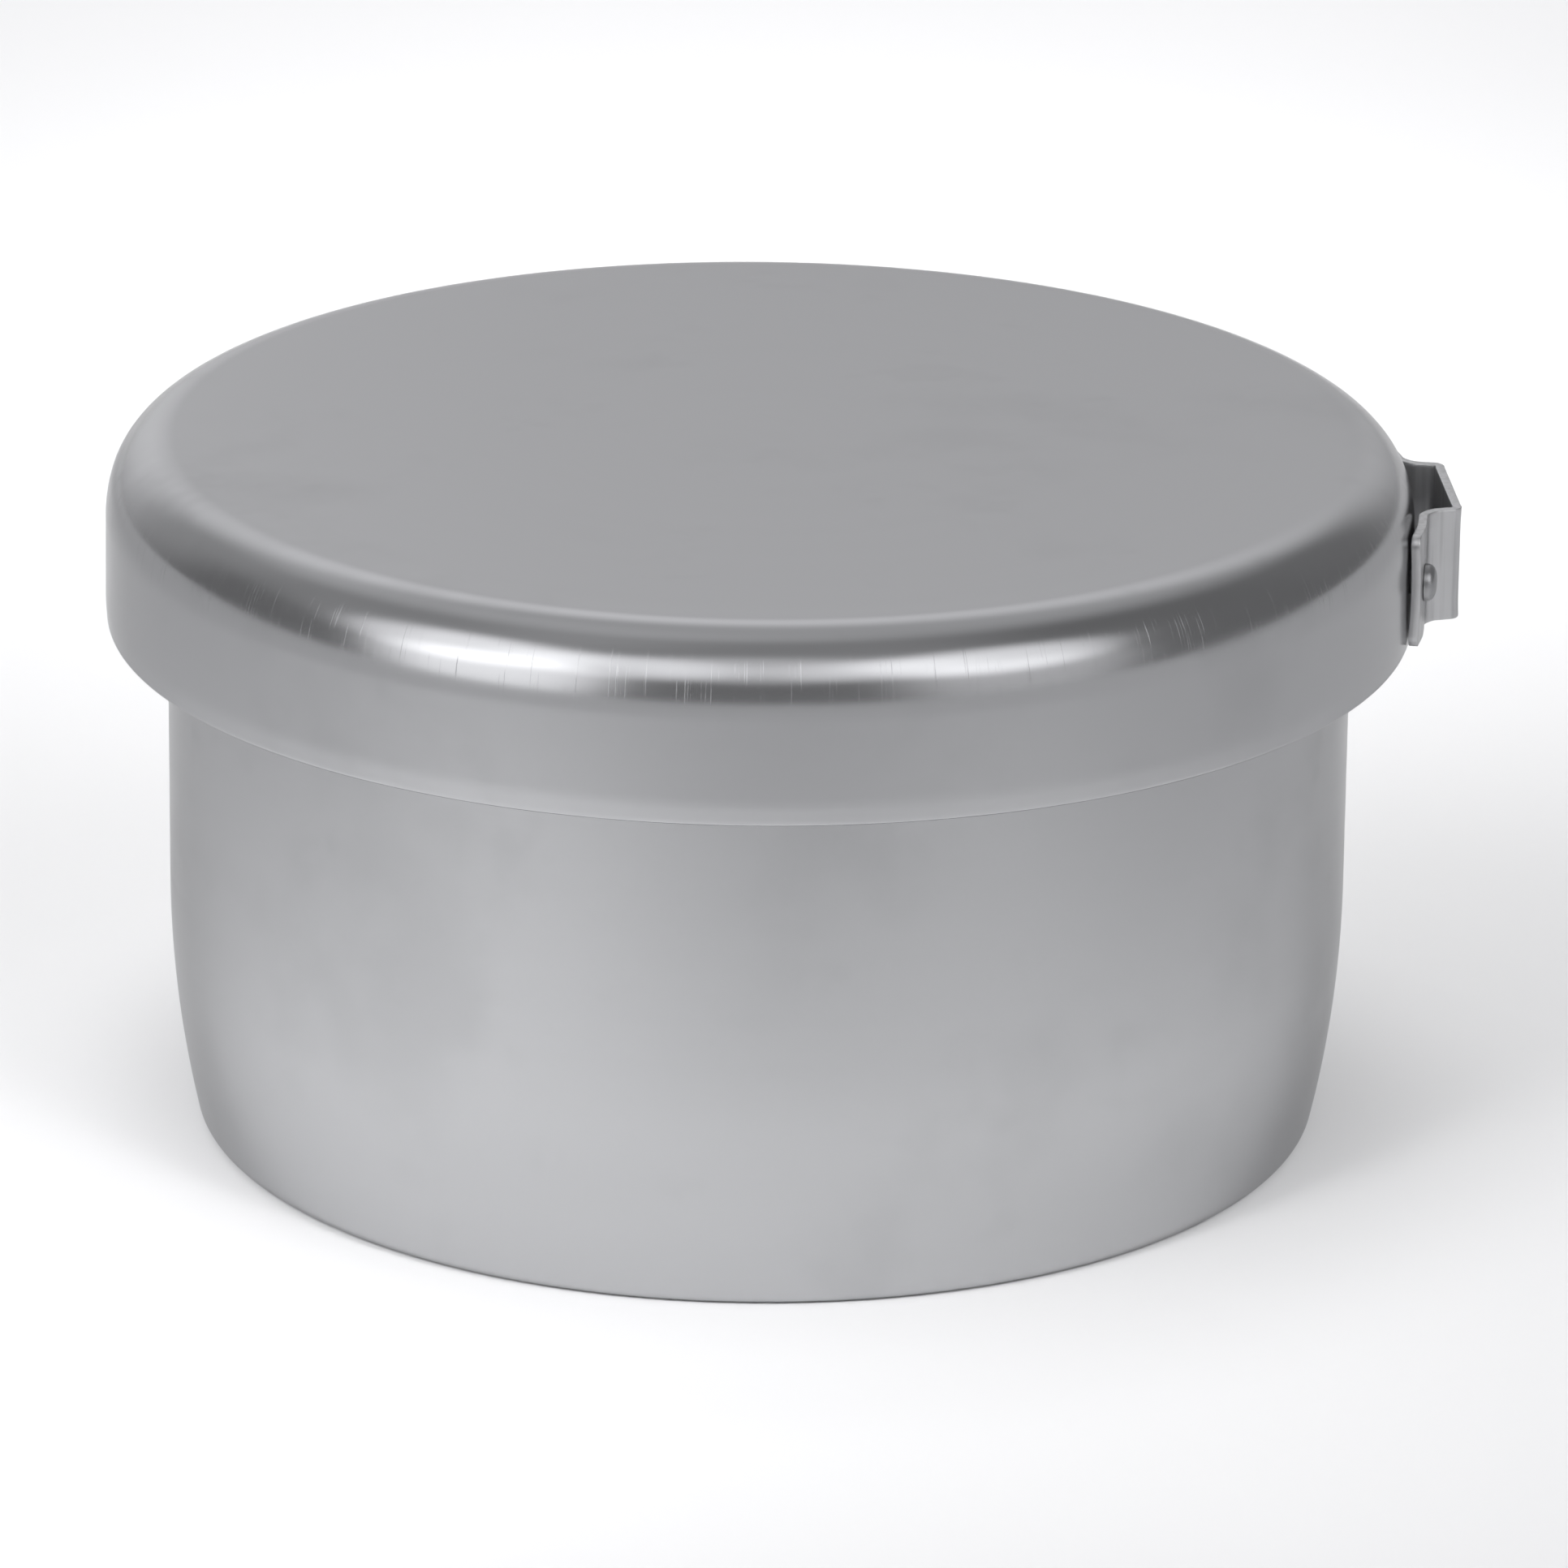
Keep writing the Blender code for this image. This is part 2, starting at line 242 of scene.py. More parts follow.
def bent_path(corners, radii):
    """A path through corners, with each inner corner rounded to its radius.

    It gives (point, bend) pairs; bend is 1 at the middle of a bend and 0 off it.
    """
    path = [(corners[0], 0.0)]
    for before, corner, after, radius in zip(corners, corners[1:], corners[2:], radii):
        inward = (before - corner).normalized()
        outward = (after - corner).normalized()
        half_angle = inward.angle(outward) / 2
        centre = corner + (inward + outward).normalized() * radius / math.sin(half_angle)
        start = corner + inward * radius / math.tan(half_angle) - centre
        end = corner + outward * radius / math.tan(half_angle) - centre
        for point in line(path[-1][0], centre + start, STRIP_RUN_STEPS)[:-1]:
            path.append((Vector(point), 0.0))
        for step in range(STRIP_BEND_STEPS + 1):
            share = step / STRIP_BEND_STEPS
            path.append((centre + start.slerp(end, share).normalized() * radius, math.sin(math.pi * share)))
    return path


def socket_corner():
    """The bridge's half width in the middle of the sheet, and the angle of a side wall's foot."""
    splay = math.radians(SOCKET_SPLAY)
    side = SOCKET_WIDTH / 2 - STRIP_THICKNESS / 2 / math.cos(splay)
    foot = side + (BRIDGE_MIDDLE - FLANGE_MIDDLE) * math.tan(splay)
    return side, math.asin(foot / FLANGE_MIDDLE)


def rivet_angle():
    """Angle of the middle of the flange's straight part."""
    foot_angle = socket_corner()[1]
    turn = math.pi / 2 - math.radians(SOCKET_SPLAY) - foot_angle
    bend_length = (FOOT_BEND_RADIUS + STRIP_THICKNESS / 2) * math.tan(turn / 2)
    return foot_angle + (bend_length + FLANGE_LENGTH) / 2 / FLANGE_MIDDLE


def half_strip():
    """Half of the strip's middle line in plan: (point, bend, bow) from the bridge out.

    The bow rises from 0 at the middle of the flange to 1 at its end.
    """
    side, foot_angle = socket_corner()
    end_angle = foot_angle + FLANGE_LENGTH / FLANGE_MIDDLE
    flange = [Vector(point) for point in arc((0.0, 0.0), FLANGE_MIDDLE, math.degrees(foot_angle),
                                             math.degrees(end_angle), FLANGE_STEPS)]
    corners = [Vector((BRIDGE_MIDDLE, 0.0)), Vector((BRIDGE_MIDDLE, side)),
               flange[0], flange[FLANGE_STRAIGHT_STEP]]
    radii = [radius + STRIP_THICKNESS / 2 for radius in (BRIDGE_BEND_RADIUS, FOOT_BEND_RADIUS)]
    middle = [(point, bend, 0.0) for point, bend in bent_path(corners, radii)]
    middle += [(point, 0.0, 0.0) for point in flange[FLANGE_STRAIGHT_STEP:FLANGE_BOW_STEP]]
    for step, point in enumerate(flange[FLANGE_BOW_STEP:]):
        middle.append((point, 0.0, step / (FLANGE_STEPS - FLANGE_BOW_STEP)))
    return middle


def strip_height(from_end, level):
    """Height of a row of the strip; near the flange's end the rows draw in to round its corners."""
    half = (STRIP_TOP - STRIP_BOTTOM) / 2
    into_corner = max(0.0, FLANGE_CORNER_RADIUS - from_end)
    draw_in = FLANGE_CORNER_RADIUS - math.sqrt(max(0.0, FLANGE_CORNER_RADIUS ** 2 - into_corner ** 2))
    return STRIP_MIDDLE + level * (half - draw_in)


def stand_off(height, level, bend, bow):
    """How far the strip stands off its middle line: it swells at bends and bows at its ends."""
    edge_distance = min(STRIP_TOP - height, height - STRIP_BOTTOM)
    swell = BEND_SWELL * bend * math.exp(-(edge_distance / SWELL_HEIGHT) ** 2)
    end_gap = FLANGE_TIP_GAP + (FLANGE_END_GAP - FLANGE_TIP_GAP) * (1 - level ** 2)
    return swell + (end_gap - FLANGE_GAP) * bow ** 2 * (3 - 2 * bow)


def strip_columns(shape, middle, face):
    """Columns of vertices along the strip: face 1 is its outer face and -1 its inner one."""
    points = [point for point, _, _ in middle]
    lengths = [0.0]
    for before, after in zip(points, points[1:]):
        lengths.append(lengths[-1] + (after - before).length)
    columns = []
    for index, (point, bend, bow) in enumerate(middle):
        before = points[max(index - 1, 0)]
        after = points[min(index + 1, len(points) - 1)]
        along = (after - before).normalized()
        outward = Vector((along.y, -along.x))
        from_end = min(lengths[index], lengths[-1] - lengths[index])
        column = []
        for row in range(STRIP_ROWS + 1):
            level = 2 * row / STRIP_ROWS - 1
            height = strip_height(from_end, level)
            offset = face * STRIP_THICKNESS / 2 + stand_off(height, level, bend, bow)
            place = point + outward * offset
            column.append(shape.verts.new((place.x, place.y, height)))
        columns.append(column)
    return columns


def handle_socket():
    """The bent strip: two faces of one grid, joined round the sheared edge, which is eased."""
    half = half_strip()
    mirrored = [(Vector((point.x, -point.y)), bend, bow) for point, bend, bow in reversed(half[1:])]
    middle = mirrored + half
    shape = bmesh.new()
    outer = strip_columns(shape, middle, 1)
    inner = strip_columns(shape, middle, -1)
    for columns in (outer, inner):
        for left, right in zip(columns, columns[1:]):
            for row in range(STRIP_ROWS):
                shape.faces.new((left[row], right[row], right[row + 1], left[row + 1]))
    last = len(middle) - 1
    for index in range(last):
        for row in (0, STRIP_ROWS):
            shape.faces.new((outer[index][row], outer[index + 1][row],
                             inner[index + 1][row], inner[index][row]))
    for column in (0, last):
        for row in range(STRIP_ROWS):
            shape.faces.new((outer[column][row], outer[column][row + 1],
                             inner[column][row + 1], inner[column][row]))
    bmesh.ops.recalc_face_normals(shape, faces=shape.faces)
    sharp = [edge for edge in shape.edges if edge.calc_face_angle(0.0) > math.radians(STRIP_SHEARED)]
    bmesh.ops.bevel(shape, geom=sharp, offset=STRIP_EDGE_EASE, segments=STRIP_EASE_STEPS, profile=0.5,
                    affect="EDGES", clamp_overlap=True)
    mesh = bpy.data.meshes.new("handle_socket_strip")
    shape.to_mesh(mesh)
    shape.free()
    mesh.shade_smooth()
    mesh.set_sharp_from_angle(angle=math.radians(STRIP_SHARP))
    return new_object("handle_socket_strip", mesh)


def rivet_outline():
    """Crown to tail of a round-head rivet whose head sits at height 0."""
    outline = [(0.0, RIVET_HEAD_HEIGHT)]
    for step in range(1, CROWN_STEPS):
        angle = math.radians(90.0 - 90.0 * step / CROWN_STEPS)
        outline.append((RIVET_HEAD_RADIUS * math.cos(angle) ** RIVET_HEAD_FULLNESS,
                        RIVET_HEAD_HEIGHT * math.sin(angle) ** RIVET_HEAD_FULLNESS))
    tail_seat = -(STRIP_THICKNESS + FLANGE_GAP + SHEET + SKIRT_SLACK)
    outline += [(RIVET_HEAD_RADIUS, RIVET_HEAD_RIM), (RIVET_HEAD_RADIUS - RIVET_HEAD_TUCK, -RIVET_FACE_GAP),
                (RIVET_SHANK_RADIUS, -RIVET_FACE_GAP), (RIVET_SHANK_RADIUS, tail_seat),
                (RIVET_TAIL_RADIUS, tail_seat)]
    for step in range(1, TAIL_STEPS):
        angle = math.radians(90.0 * step / TAIL_STEPS)
        outline.append((RIVET_TAIL_RADIUS * math.cos(angle), tail_seat - RIVET_TAIL_HEIGHT * math.sin(angle)))
    outline.append((0.0, tail_seat - RIVET_TAIL_HEIGHT))
    return outline


def rivet(name, side):
    """A rivet through the middle of one flange: side -1 is nearer the front."""
    angle = side * rivet_angle()
    seat = FLANGE_MIDDLE + STRIP_THICKNESS / 2
    item = turned(name, rivet_outline(), RIVET_STEPS, STRIP_SHARP)
    turn = Matrix.Rotation(angle, 4, "Z") @ Matrix.Rotation(math.pi / 2, 4, "Y")
    place = Matrix.Translation((seat * math.cos(angle), seat * math.sin(angle), STRIP_MIDDLE))
    item.data.transform(place @ turn)
    return item


# ---------------------------------------------------------------- materials

ALUMINIUM = (0.50, 0.503, 0.513)
# Paler metal for the hollow sides: painted light that lifts the shade inside the tin and under the lid
INSIDE_PAINTED_LIGHT_ALUMINIUM = (0.80, 0.803, 0.813)
STRIP_ALUMINIUM = (0.57, 0.572, 0.58)
# The rivets are darker than the strip: painted shade for the dark that their domed heads mirror
RIVET_PAINTED_SHADE_ALUMINIUM = (0.37, 0.372, 0.38)
EDGE_TINT = (0.65, 0.65, 0.65, 1.0)    # dulls the metal where it is seen edge-on
SMUDGED_SHADE = 0.91            # colour of a smudge, as a share of the clean metal's
BANDED_SHADE = 0.80             # the same, for the strip's dark bands
TIN_ROUGHNESS = 0.24
LID_ROUGHNESS = 0.20
STRIP_ROUGHNESS = 0.33
RIVET_ROUGHNESS = 0.30
ROUGHEST = 0.268                # limit on the tin and the lid
STRIP_METALLIC = 0.80
RIVET_METALLIC = 0.90
BUMP_STRENGTH = 0.35
BUMP_HEIGHT = 0.00002           # of a texture height of 1

# Stretch of the long patterns: cells to the metre, or to the radian where they run round the axis
FINE_RINGS = 700.0
FINE_RINGS_ROUND = 0.35
COARSE_RINGS = 160.0
COARSE_RINGS_ROUND = 0.2
SCRATCHES_ROUND = 340.0
SCRATCHES_DOWN = 55.0
BANDS_ALONG = 1300.0
BANDS_DOWN = 50.0

# Noise: cells to the metre (1 where the place is stretched already), detail and roughness
FINE_RING_NOISE = (1.0, 1.5, 0.5)
COARSE_RING_NOISE = (1.0, 2.0, 0.5)
SCRATCH_NOISE = (1.0, 4.0, 0.7)
BAND_NOISE = (1.0, 2.0, 0.5)
GRAIN_NOISE = (2600.0, 1.0, 0.5)
SMUDGE_NOISE = (28.0, 4.0, 0.55)
WIPE_NOISE = (75.0, 3.0, 0.6)
DULL_NOISE = (180.0, 3.0, 0.5)

# Noise values at which a patch starts and at which it is full
SMUDGE_SPAN = (0.52, 0.72)
WIPE_SPAN = (0.58, 0.74)
SCRATCH_SPAN = (0.60, 0.78)
BAND_SPAN = (0.38, 0.66)
DULL_SPAN = (0.45, 0.75)

# What counts as inside, which takes the paler painted light: the normal's outward part on the wall and its
# part towards the open side on the end, with a zone below the tin's top that is all rim
INSIDE_WALL_SPAN = (-0.4, -0.1)
INSIDE_END_SPAN = (0.75, 0.95)
RIM_ZONE = 0.005

# Texture heights, as shares of BUMP_HEIGHT
TIN_RING_HEIGHT = 0.30
LID_RING_HEIGHT = 0.10
COARSE_RING_SHARE = 0.8         # of the fine rings' height
GRAIN_HEIGHT = 0.05
SCRATCH_HEIGHT = 1.8
BAND_HEIGHT = 2.4
STRIP_GRAIN_HEIGHT = 0.10

# What each texture adds to the roughness, and to the share of the darker colour
ROUGHNESS_BELOW = 0.035         # clean metal's roughness is this much below the named one
RING_ROUGHNESS = 0.05
SMUDGE_ROUGHNESS = 0.035
WIPE_ROUGHNESS = 0.030
SCRATCH_ROUGHNESS = 0.10
DULL_ROUGHNESS = 0.05
SMUDGE_TONE = 0.70
WIPE_TONE = 0.35
BAND_TONE = 0.75
DULL_TONE = 0.25

# Heights between which drawing scratches run down the lid's corner, and how they fade in and out
SCRATCHES_BOTTOM = LID_TOP - LID_CORNER_RADIUS - 0.003
SCRATCHES_TOP = LID_TOP - 0.001
SCRATCHES_FADE_BOTTOM = 0.0025
SCRATCHES_FADE_TOP = 0.003


class Graph:
    """Short calls for a material's nodes."""

    def __init__(self, name):
        self.material = bpy.data.materials.new(name)
        self.material.use_nodes = True
        self.tree = self.material.node_tree
        self.shader = self.tree.nodes["Principled BSDF"]

    def node(self, kind, **settings):
        made = self.tree.nodes.new("ShaderNode" + kind)
        for key, value in settings.items():
            setattr(made, key, value)
        return made

    def link(self, output, target):
        self.tree.links.new(output, target)

    def fill(self, targets, values):
        """Links or sets each socket in turn."""
        for target, value in zip(targets, values):
            if isinstance(value, bpy.types.NodeSocket):
                self.link(value, target)
            else:
                target.default_value = value

    def maths(self, operation, first, second=0.0):
        made = self.node("Math", operation=operation)
        self.fill(made.inputs, (first, second))
        return made.outputs[0]

    def times(self, first, second):
        return self.maths("MULTIPLY", first, second)

    def total(self, *values):
        result = values[0]
        for value in values[1:]:
            result = self.maths("ADD", result, value)
        return result

    def vector(self, x, y, z):
        made = self.node("CombineXYZ")
        self.fill(made.inputs, (x, y, z))
        return made.outputs[0]

    def noise(self, place, kind):
        """Noise of a kind: its scale, detail and roughness."""
        made = self.node("TexNoise")
        self.link(place, made.inputs["Vector"])
        for key, value in zip(("Scale", "Detail", "Roughness"), kind):
            made.inputs[key].default_value = value
        return made.outputs["Fac"]

    def remap(self, value, low, high, new_low=0.0, new_high=1.0):
        """Goes smoothly from new_low to new_high as the value goes from low to high."""
        made = self.node("MapRange", interpolation_type="SMOOTHSTEP")
        self.fill(made.inputs, (value, low, high, new_low, new_high))
        return made.outputs[0]

    def mix(self, share, first, second):
        """A colour between two colours, either of which may be a socket."""
        made = self.node("Mix", data_type="RGBA")
        self.link(share, made.inputs["Factor"])
        self.fill(made.inputs[6:8], (first, second))
        return made.outputs[2]

    def bump(self, height):
        made = self.node("Bump")
        made.inputs["Strength"].default_value = BUMP_STRENGTH
        made.inputs["Distance"].default_value = BUMP_HEIGHT
        self.link(height, made.inputs["Height"])
        self.link(made.outputs[0], self.shader.inputs["Normal"])

    def finish(self, colour, roughness, metallic):
        self.link(colour, self.shader.inputs["Base Color"])
        self.link(roughness, self.shader.inputs["Roughness"])
        self.shader.inputs["Metallic"].default_value = metallic
        self.shader.inputs["Specular Tint"].default_value = EDGE_TINT
        return self.material


def opaque(colour, shade=1.0):
    return (*(part * shade for part in colour), 1.0)


def object_place(graph):
    """The place on the piece, whole and as x, y and z."""
    place = graph.node("TexCoord").outputs["Object"]
    split = graph.node("SeparateXYZ")
    graph.link(place, split.inputs[0])
    return place, split.outputs[0], split.outputs[1], split.outputs[2]


def painted_light_inside_share(graph, x, y, z, radius, open_side, limit):
    """Where the painted light goes: 1 on the hollow side of a turned piece that opens up (1) or down (-1),
    and 0 outside.
    """
    normal = graph.node("SeparateXYZ")
    graph.link(graph.node("NewGeometry").outputs["Normal"], normal.inputs[0])
    across = graph.total(graph.times(normal.outputs[0], x), graph.times(normal.outputs[1], y))
    facing = graph.maths("DIVIDE", across, graph.maths("MAXIMUM", radius, SHEET))
    wall = graph.remap(facing, *INSIDE_WALL_SPAN, 1.0, 0.0)
    end = graph.remap(graph.times(normal.outputs[2], open_side), *INSIDE_END_SPAN)
    end = graph.times(end, graph.remap(z, limit, limit + SHEET, 1.0, 0.0))
    return graph.maths("MAXIMUM", wall, end)


def scratch_share(graph, angle, z):
    """Thin scratches that run down the lid's corner, where its sheet was drawn."""
    place = graph.vector(graph.times(angle, SCRATCHES_ROUND), graph.times(z, SCRATCHES_DOWN), 0.0)
    thin = graph.remap(graph.noise(place, SCRATCH_NOISE), *SCRATCH_SPAN)
    above = graph.remap(z, SCRATCHES_BOTTOM, SCRATCHES_BOTTOM + SCRATCHES_FADE_BOTTOM)
    below = graph.remap(z, SCRATCHES_TOP - SCRATCHES_FADE_TOP, SCRATCHES_TOP, 1.0, 0.0)
    return graph.times(thin, graph.times(above, below))


def satin_aluminium(name, roughness, ring_height, open_side, limit, scratched):
    """Satin aluminium turned about Z, with turning rings, grain, smudges and maybe scratches.

    The piece's hollow side, which opens up (1) or down (-1) below the limit height, is paler: painted light
    that lifts the shade in the hollow.
    """
    graph = Graph(name)
    place, x, y, z = object_place(graph)
    angle = graph.maths("ARCTAN2", y, x)
    radius = graph.maths("SQRT", graph.total(graph.times(x, x), graph.times(y, y)))

    # Rings left by turning: fine in height and radius, long round the axis
    fine_place = graph.vector(graph.times(angle, FINE_RINGS_ROUND),
                              graph.times(radius, FINE_RINGS), graph.times(z, FINE_RINGS))
    rings = graph.noise(fine_place, FINE_RING_NOISE)
    coarse_place = graph.vector(graph.times(angle, COARSE_RINGS_ROUND),
                                graph.times(radius, COARSE_RINGS), graph.times(z, COARSE_RINGS))
    coarse_rings = graph.noise(coarse_place, COARSE_RING_NOISE)

    # Handling smudges: wide soft patches, and smaller wiped ones
    smudge = graph.remap(graph.noise(place, SMUDGE_NOISE), *SMUDGE_SPAN)
    wiped = graph.remap(graph.noise(place, WIPE_NOISE), *WIPE_SPAN)

    height = graph.total(graph.times(rings, ring_height),
                         graph.times(coarse_rings, ring_height * COARSE_RING_SHARE),
                         graph.times(graph.noise(place, GRAIN_NOISE), GRAIN_HEIGHT))
    rough = graph.total(graph.times(rings, RING_ROUGHNESS),
                        graph.times(smudge, SMUDGE_ROUGHNESS),
                        graph.times(wiped, WIPE_ROUGHNESS),
                        roughness - ROUGHNESS_BELOW)
    if scratched:
        scratches = scratch_share(graph, angle, z)
        height = graph.total(height, graph.times(scratches, SCRATCH_HEIGHT))
        rough = graph.total(rough, graph.times(scratches, SCRATCH_ROUGHNESS))
    graph.bump(height)

    tone = graph.total(graph.times(smudge, SMUDGE_TONE), graph.times(wiped, WIPE_TONE))
    outside = graph.mix(tone, opaque(ALUMINIUM), opaque(ALUMINIUM, SMUDGED_SHADE))
    # Painted light: the hollow side takes the paler colour, to lift the shade inside
    colour = graph.mix(painted_light_inside_share(graph, x, y, z, radius, open_side, limit),
                       outside, opaque(INSIDE_PAINTED_LIGHT_ALUMINIUM))
    return graph.finish(colour, graph.maths("MINIMUM", rough, ROUGHEST), 1.0)


def strip_aluminium(name, colour, roughness, metallic):
    """Bent strip: soft bands down its width, bumped and darker in colour, fine grain, a few dull patches."""
    graph = Graph(name)
    place, x, y, z = object_place(graph)
    band_place = graph.vector(graph.times(x, BANDS_ALONG), graph.times(y, BANDS_ALONG),
                              graph.times(z, BANDS_DOWN))
    bands = graph.noise(band_place, BAND_NOISE)
    dull = graph.remap(graph.noise(place, DULL_NOISE), *DULL_SPAN)
    graph.bump(graph.total(graph.times(bands, BAND_HEIGHT),
                           graph.times(graph.noise(place, GRAIN_NOISE), STRIP_GRAIN_HEIGHT)))
    tone = graph.total(graph.times(dull, DULL_TONE), graph.remap(bands, *BAND_SPAN, 0.0, BAND_TONE))
    mixed = graph.mix(tone, opaque(colour), opaque(colour, BANDED_SHADE))
    return graph.finish(mixed, graph.total(graph.times(dull, DULL_ROUGHNESS), roughness), metallic)


def dress(item, material, body, node):
    item.data.materials.append(material)
    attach(item, body)
    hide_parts(node)


TIN_METAL = satin_aluminium("tin_satin", TIN_ROUGHNESS, TIN_RING_HEIGHT, 1.0, TIN_TOP - RIM_ZONE, False)
LID_METAL = satin_aluminium("lid_satin", LID_ROUGHNESS, LID_RING_HEIGHT, -1.0, LID_TOP, True)
STRIP_METAL = strip_aluminium("strip_satin", STRIP_ALUMINIUM, STRIP_ROUGHNESS, STRIP_METALLIC)
# The rivets' darker colour is painted shade
RIVET_METAL = strip_aluminium("rivet_painted_shade_satin", RIVET_PAINTED_SHADE_ALUMINIUM, RIVET_ROUGHNESS, RIVET_METALLIC)

dress(tin_body(), TIN_METAL, "tin", "tin_body")
dress(lid(), LID_METAL, "lid", "lid")
dress(handle_socket(), STRIP_METAL, "lid", "handle_socket")
dress(rivet("rivet_near_head", -1), RIVET_METAL, "lid", "rivet_near")
dress(rivet("rivet_far_head", 1), RIVET_METAL, "lid", "rivet_far")


# ---------------------------------------------------------------- studio

# The camera stands in front and above, with the socket just behind its right-hand edge.
CAMERA_DISTANCE = 1.280
CAMERA_ELEVATION = 17.51        # degrees, seen from the middle of the lid's top
SOCKET_BEHIND = 4.1             # degrees that the socket is turned behind the view's right
CAMERA_ROLL = 0.607             # degrees
CAMERA_SIDE_AIM = 0.00287       # aim to the right of the lid's middle
CAMERA_SIDE_STEP = 0.00038      # camera and aim moved to the right together
CAMERA_AIM_DROP = 0.04558       # aim below the lid's top
FOCAL_LENGTH = 240.4            # millimetres
SENSOR_WIDTH = 36.0             # millimetres
CLIP_START = 0.05
CLIP_END = 50.0

FLOOR_HALF_WIDTH = 4.0
FLOOR_COLOUR = (0.86, 0.86, 0.865, 1.0)
FLOOR_ROUGHNESS = 0.9
FLOOR_SHINE = 0.1

# Soft lights far round the tin: side and elevation of the middle, the angles from it at which
# the light starts to fade and ends, all in degrees, and the radiance.
STUDIO_COLOUR = (0.985, 0.985, 1.0, 1.0)
AMBIENT = 0.21
SOFT_LIGHTS = {
    "key_left": (-58.0, 36.0, 8.0, 26.0, 1.25),
    "low_left": (-48.0, 12.0, 8.0, 28.0, 1.32),
    "key_left_inner": (-27.0, 38.0, 6.0, 24.0, 0.79),
    "key_right_inner": (23.0, 38.0, 6.0, 22.0, 0.45),
    "key_right": (46.0, 37.0, 8.0, 26.0, 1.14),
    "low_right": (46.0, 12.0, 8.0, 28.0, 0.51),
    "front_high": (0.0, 42.0, 6.0, 28.0, 0.49),
    "overhead": (0.0, 78.0, 10.0, 34.0, 0.13),
    "left_top": (-100.0, 56.0, 8.0, 36.0, 0.16),
    "back_high": (180.0, 56.0, 10.0, 38.0, 0.34),
    "back_left": (-150.0, 18.0, 12.0, 40.0, 0.24),
    "back_middle": (180.0, 18.0, 12.0, 40.0, 0.46),
    "back_right": (150.0, 18.0, 12.0, 40.0, 0.03),
    "skyline_left": (-158.0, 4.0, 6.0, 26.0, 0.31),
    "skyline_right": (158.0, 4.0, 6.0, 26.0, 0.20),
}

# Lights over the floor: distance to the right and behind, width, height, and the radiance before
# the beam is narrowed.  The floor lights shine straight down, and the base lights shine from the
# front at the floor by the base.
POOL_SPREAD = 50.0              # degrees
FLOOR_LIGHTS = {
    "pool_left": (-0.14, -0.12, 0.22, 0.55, 0.552),
    "pool_back": (0.00, 0.26, 0.44, 0.55, 0.68),
    "pool_far": (0.00, 1.40, 1.60, 1.40, 0.84),
}
BASE_SPREAD = 26.0              # degrees
BASE_AIM = 0.16                 # share of the light's distance from the axis
BASE_LIGHTS = {
    "base_left": (-0.35, -0.50, 0.20, 0.40, 0.664),
    "base_right": (0.35, -0.50, 0.20, 0.40, 0.58),
}

FRONT = Vector((-math.sin(math.radians(SOCKET_BEHIND)), -math.cos(math.radians(SOCKET_BEHIND)), 0.0))
RIGHT = Vector((-FRONT.y, FRONT.x, 0.0))
UP = Vector((0.0, 0.0, 1.0))


def add_camera():
    rise = math.radians(CAMERA_ELEVATION)
    lid_centre = Vector((0.0, 0.0, LID_TOP))
    step = RIGHT * CAMERA_SIDE_STEP
    place = lid_centre + (FRONT * math.cos(rise) + UP * math.sin(rise)) * CAMERA_DISTANCE + step
    aim = lid_centre + RIGHT * CAMERA_SIDE_AIM - UP * CAMERA_AIM_DROP + step
    forward = (aim - place).normalized()
    level = forward.cross(UP).normalized()
    upright = level.cross(forward)
    roll = math.radians(CAMERA_ROLL)
    side = level * math.cos(roll) + upright * math.sin(roll)
    top = upright * math.cos(roll) - level * math.sin(roll)
    data = bpy.data.cameras.new("camera")
    data.lens = FOCAL_LENGTH
    data.sensor_width = SENSOR_WIDTH
    data.clip_start = CLIP_START
    data.clip_end = CLIP_END
    camera = bpy.data.objects.new("camera", data)
    camera.matrix_world = Matrix((
        (side.x, top.x, -forward.x, place.x),
        (side.y, top.y, -forward.y, place.y),
        (side.z, top.z, -forward.z, place.z),
        (0.0, 0.0, 0.0, 1.0)))
    bpy.context.scene.collection.objects.link(camera)
    bpy.context.scene.camera = camera


def add_floor():
    mesh = bpy.data.meshes.new("floor")
    half = FLOOR_HALF_WIDTH
    corners = [(-half, -half, 0.0), (half, -half, 0.0), (half, half, 0.0), (-half, half, 0.0)]
    mesh.from_pydata(corners, [], [(0, 1, 2, 3)])
    floor = new_object("floor", mesh)
    graph = Graph("floor_pale")
    graph.shader.inputs["Base Color"].default_value = FLOOR_COLOUR
    graph.shader.inputs["Roughness"].default_value = FLOOR_ROUGHNESS
    graph.shader.inputs["Specular IOR Level"].default_value = FLOOR_SHINE
    mesh.materials.append(graph.material)


def studio_direction(side, elevation):
    turn = math.radians(side)
    rise = math.radians(elevation)
    return (FRONT * math.cos(turn) + RIGHT * math.sin(turn)) * math.cos(rise) + UP * math.sin(rise)


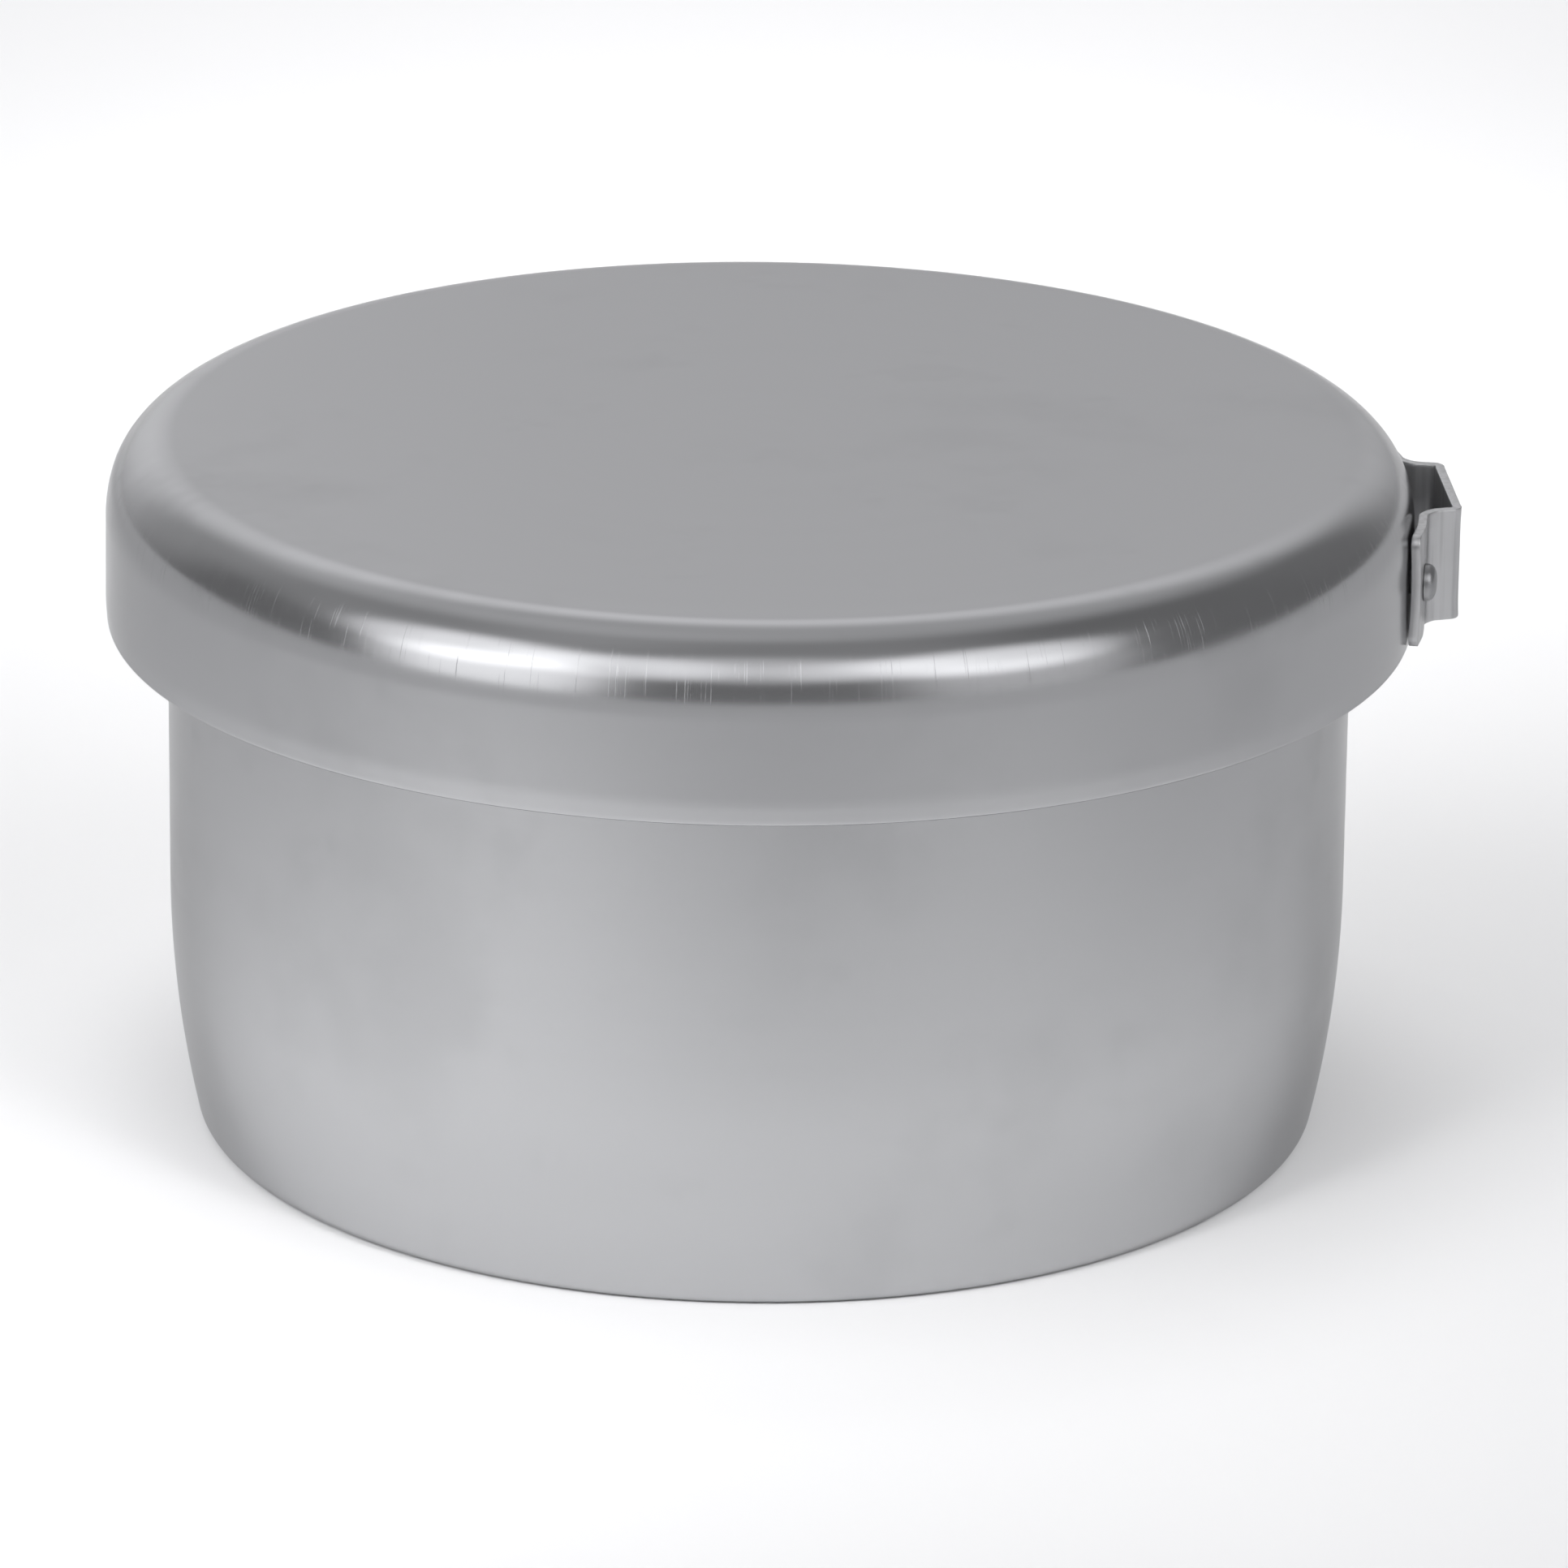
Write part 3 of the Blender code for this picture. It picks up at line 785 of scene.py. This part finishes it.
def add_world():
    """A studio of soft round lights that fade out smoothly, over a dim ambient light."""
    world = bpy.data.worlds.new("studio")
    world.use_nodes = True
    tree = world.node_tree
    direction = tree.nodes.new("ShaderNodeTexCoord").outputs["Generated"]
    total = None
    for name, (side, elevation, inner, outer, radiance) in SOFT_LIGHTS.items():
        closeness = tree.nodes.new("ShaderNodeVectorMath")
        closeness.operation = "DOT_PRODUCT"
        closeness.inputs[1].default_value = studio_direction(side, elevation)
        tree.links.new(direction, closeness.inputs[0])
        fade = tree.nodes.new("ShaderNodeMapRange")
        fade.name = name
        fade.interpolation_type = "SMOOTHSTEP"
        fade.inputs["From Min"].default_value = math.cos(math.radians(outer))
        fade.inputs["From Max"].default_value = math.cos(math.radians(inner))
        fade.inputs["To Max"].default_value = radiance
        tree.links.new(closeness.outputs["Value"], fade.inputs["Value"])
        add = tree.nodes.new("ShaderNodeMath")
        add.operation = "ADD"
        tree.links.new(fade.outputs[0], add.inputs[0])
        if total:
            tree.links.new(total, add.inputs[1])
        else:
            add.inputs[1].default_value = AMBIENT
        total = add.outputs[0]
    background = tree.nodes["Background"]
    background.inputs["Color"].default_value = STUDIO_COLOUR
    tree.links.new(total, background.inputs["Strength"])
    bpy.context.scene.world = world


def add_floor_light(name, right, behind, width, height, radiance):
    """A disk light above the floor that shines straight down and that the metal doesn't mirror."""
    data = bpy.data.lights.new(name, "AREA")
    data.shape = "DISK"
    data.size = width
    data.spread = math.radians(POOL_SPREAD)
    disk_area = math.pi * (width / 2) ** 2
    data.energy = radiance * math.pi * disk_area
    light = bpy.data.objects.new(name, data)
    place = RIGHT * right - FRONT * behind
    light.location = (place.x, place.y, height)
    light.visible_glossy = False
    bpy.context.scene.collection.objects.link(light)
    return light


def aim_at_base(light):
    """Turns a floor light to a narrow beam at the floor on its side of the base."""
    place = light.location
    to_base = Vector((place.x * BASE_AIM, place.y * BASE_AIM, 0.0)) - place
    light.rotation_euler = to_base.to_track_quat("-Z", "Y").to_euler()
    light.data.spread = math.radians(BASE_SPREAD)


add_camera()
add_floor()
add_world()
for light_name, light_values in FLOOR_LIGHTS.items():
    add_floor_light(light_name, *light_values)
for light_name, light_values in BASE_LIGHTS.items():
    aim_at_base(add_floor_light(light_name, *light_values))

bpy.context.scene.view_settings.view_transform = "Standard"
bpy.context.scene.view_settings.look = "None"
